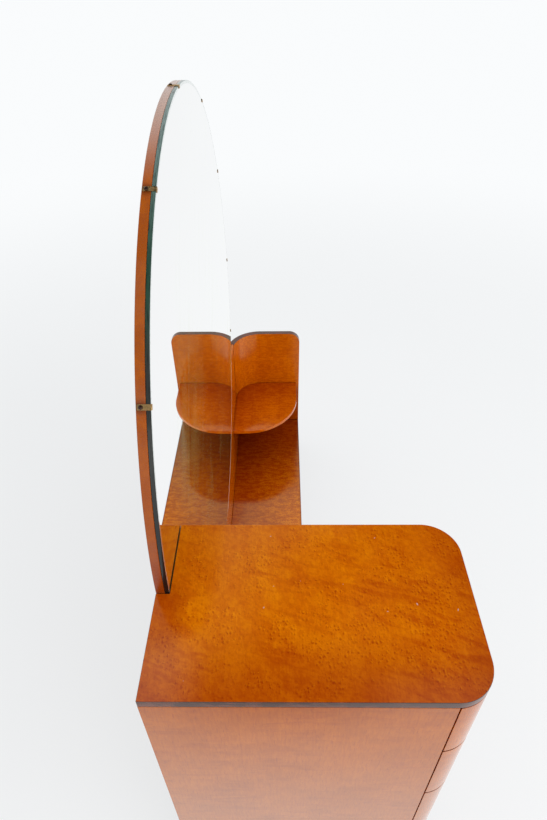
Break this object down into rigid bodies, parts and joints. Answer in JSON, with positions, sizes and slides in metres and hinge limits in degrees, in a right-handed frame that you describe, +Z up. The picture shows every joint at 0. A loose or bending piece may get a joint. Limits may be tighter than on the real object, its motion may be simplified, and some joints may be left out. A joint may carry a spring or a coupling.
{
  "type": "dressing table with mirror",
  "caption": "Asymmetrical veneered dressing table: a drawer cabinet with rounded front corners, a low platform, a bent end with a shelf and a large round frameless mirror.",
  "frame": {"origin": "on the floor, below the middle of the table's bounding box", "axes": "+X along the table away from the drawers, +Y from the front to the back, +Z up"},
  "size_m": [1.279, 0.442, 1.2788],
  "materials": {
    "burr_veneer": "gloss lacquer over figured honey-brown veneer with small dark specks",
    "straight_veneer": "gloss lacquer over reddish-brown veneer with a faint cross ripple",
    "ebonised_wood": "worn black stain, satin",
    "drawer_timber": "plain unlacquered pale timber",
    "mirror_board": "reddish-brown stained, satin",
    "silvered_glass": "silvered plate glass with a dark green ground edge",
    "aged_brass": "tarnished brass"
  },
  "bodies": {
    "table": {"cabinet_top": "burr_veneer", "cabinet_outer_side": "straight_veneer", "cabinet_inner_side": "straight_veneer", "cabinet_back": "drawer_timber", "cabinet_bottom": "drawer_timber", "dust_board_1": "drawer_timber", "dust_board_2": "drawer_timber", "dust_board_3": "drawer_timber", "plinth_back": "ebonised_wood", "plinth_cabinet_front": "ebonised_wood", "plinth_cabinet_side": "ebonised_wood", "plinth_cabinet_inner": "ebonised_wood", "plinth_platform_front": "ebonised_wood", "plinth_end": "ebonised_wood", "platform": "straight_veneer", "shelf": "straight_veneer", "end_panel": "straight_veneer", "back_facing": "straight_veneer", "back_board": "mirror_board", "mirror_glass": "silvered_glass", "clip_1": "aged_brass", "clip_2": "aged_brass", "clip_3": "aged_brass", "clip_4": "aged_brass", "clip_5": "aged_brass", "clip_6": "aged_brass", "clip_7": "aged_brass", "clip_screw_1": "aged_brass", "clip_screw_2": "aged_brass", "clip_screw_3": "aged_brass", "clip_screw_4": "aged_brass", "clip_screw_5": "aged_brass", "clip_screw_6": "aged_brass", "clip_screw_7": "aged_brass"},
    "drawer_1": {"drawer_1_front": "straight_veneer", "drawer_1_knob": "ebonised_wood", "drawer_1_left_side": "drawer_timber", "drawer_1_right_side": "drawer_timber", "drawer_1_back": "drawer_timber", "drawer_1_bottom": "drawer_timber"},
    "drawer_2": {"drawer_2_front": "straight_veneer", "drawer_2_knob": "ebonised_wood", "drawer_2_left_side": "drawer_timber", "drawer_2_right_side": "drawer_timber", "drawer_2_back": "drawer_timber", "drawer_2_bottom": "drawer_timber"},
    "drawer_3": {"drawer_3_front": "straight_veneer", "drawer_3_knob": "ebonised_wood", "drawer_3_left_side": "drawer_timber", "drawer_3_right_side": "drawer_timber", "drawer_3_back": "drawer_timber", "drawer_3_bottom": "drawer_timber"},
    "drawer_4": {"drawer_4_front": "straight_veneer", "drawer_4_knob": "ebonised_wood", "drawer_4_left_side": "drawer_timber", "drawer_4_right_side": "drawer_timber", "drawer_4_back": "drawer_timber", "drawer_4_bottom": "drawer_timber"}
  },
  "joints": [
    {"name": "drawer_1_slide", "type": "slide", "parent": "table", "child": "drawer_1", "axis": [0, -1, 0], "range_m": [0, 0.26]},
    {"name": "drawer_2_slide", "type": "slide", "parent": "table", "child": "drawer_2", "axis": [0, -1, 0], "range_m": [0, 0.26]},
    {"name": "drawer_3_slide", "type": "slide", "parent": "table", "child": "drawer_3", "axis": [0, -1, 0], "range_m": [0, 0.26]},
    {"name": "drawer_4_slide", "type": "slide", "parent": "table", "child": "drawer_4", "axis": [0, -1, 0], "range_m": [0, 0.26]}
  ]
}
